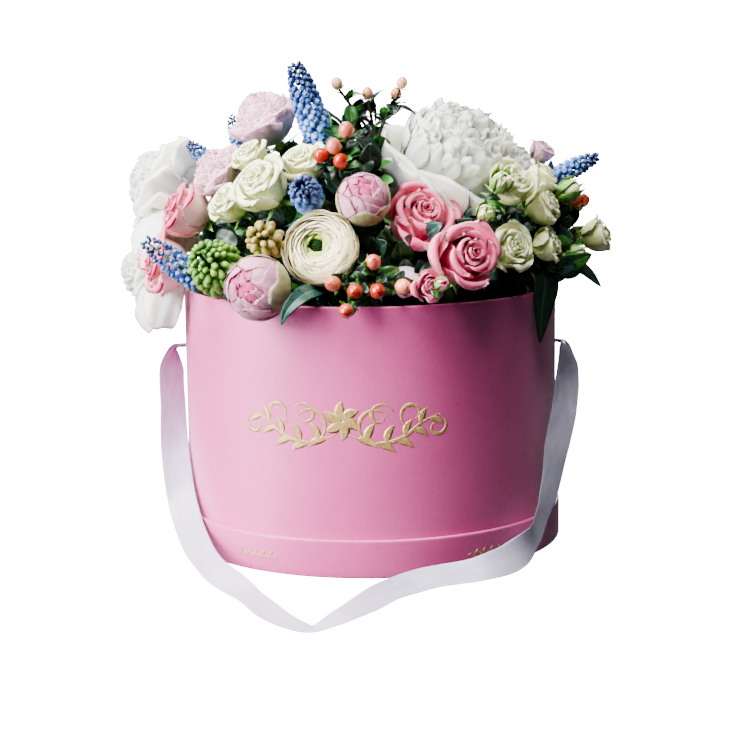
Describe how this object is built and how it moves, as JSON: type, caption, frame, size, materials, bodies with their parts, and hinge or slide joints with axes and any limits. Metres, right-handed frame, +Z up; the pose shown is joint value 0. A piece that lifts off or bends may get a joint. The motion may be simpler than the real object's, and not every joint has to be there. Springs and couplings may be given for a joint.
{
  "type": "flower box",
  "caption": "Round hat box standing in its own upturned lid, with a satin ribbon handle through its sides and a dome of cut flowers set in a foam-filled liner.",
  "frame": {"origin": "middle of the underside of the upturned lid, on the table", "axes": "+Z up along the box's axis, -Y towards the front where the ribbon lies, +X to the right seen from the front; the ribbon holes are on the X axis"},
  "size_m": [0.3376, 0.4074, 0.331],
  "materials": {
    "box_paper": "matte coated covering paper, orchid pink",
    "board": "grey board, matte",
    "lining": "matte lining paper, off-white",
    "ribbon": "double-faced satin, pale lavender white",
    "gold_foil": "hot-stamped foil, satin gold",
    "pot": "thin moulded liner, matte",
    "foam": "floral foam, open-celled and damp",
    "white_petal": "soft petals, matte",
    "cream_petal": "soft petals, matte",
    "pink_petal": "velvety petals, matte",
    "blush_petal": "soft petals, matte",
    "blue_bell": "waxy small bells, satin",
    "green_bud": "waxy buds, satin",
    "tan_bud": "waxy buds, satin",
    "berry": "glossy berries",
    "leaf": "leathery leaves, satin"
  },
  "bodies": {
    "lid_tray": {"lid_wrap": "box_paper", "lid_rim": "board", "lid_panel": "board"},
    "box": {"box_floor": "board", "box_wall": "board", "box_wrap": "box_paper", "wall_lining": "lining"},
    "handle": {"ribbon_handle": "ribbon", "ribbon_knot_left": "ribbon", "ribbon_knot_right": "ribbon"},
    "arrangement": {"liner_pot": "pot", "foam_block": "foam", "peony_white_crown": "white_petal", "peony_white_left": "white_petal", "peony_white_low": "white_petal", "peony_white_back": "white_petal", "peony_pink_top": "blush_petal", "peony_pink_left": "blush_petal", "peony_pink_back": "blush_petal", "peony_bud_front": "blush_petal", "peony_bud_centre": "blush_petal", "peony_bud_back": "blush_petal", "rose_blush_upper": "blush_petal", "rose_blush_lower": "blush_petal", "rose_blush_back": "blush_petal", "spray_blush_rear": "blush_petal", "rose_white_front": "cream_petal", "rose_white_left": "cream_petal", "rose_white_top": "cream_petal", "rose_white_rear": "cream_petal", "rose_white_right_back": "cream_petal", "rose_white_left_back": "cream_petal", "rose_white_side_back": "cream_petal", "rose_white_crown_back": "cream_petal", "ranunculus_front": "cream_petal", "ranunculus_back": "cream_petal", "spray_white_high": "cream_petal", "spray_white_low": "cream_petal", "spray_white_side": "cream_petal", "rose_pink_left": "pink_petal", "rose_pink_right": "pink_petal", "rose_pink_back": "pink_petal", "rose_pink_right_back": "pink_petal", "spray_pink_front": "pink_petal", "muscari_left_front": "blue_bell", "muscari_left_back": "blue_bell", "muscari_rear": "blue_bell", "muscari_tall": "blue_bell", "muscari_centre": "blue_bell", "muscari_right": "blue_bell", "hyacinth_green": "green_bud", "hyacinth_back": "green_bud", "hyacinth_tan": "tan_bud", "berries_upper": "berry", "berries_crown": "berry", "berries_low": "berry", "berries_right": "berry", "leaf_over_rim": "leaf", "leaf_front": "leaf", "leaf_right": "leaf"}
  },
  "joints": [
    {"name": "box_lift", "type": "slide", "parent": "lid_tray", "child": "box", "axis": [0, 0, 1], "range_m": [0, 0.06]},
    {"name": "arrangement_lift", "type": "slide", "parent": "box", "child": "arrangement", "axis": [0, 0, 1], "range_m": [0, 0.18]},
    {"name": "handle_swing", "type": "hinge", "parent": "box", "child": "handle", "pos_m": [0, 0, 0.135], "axis": [-1, 0, 0], "range_deg": [0, 60]}
  ]
}
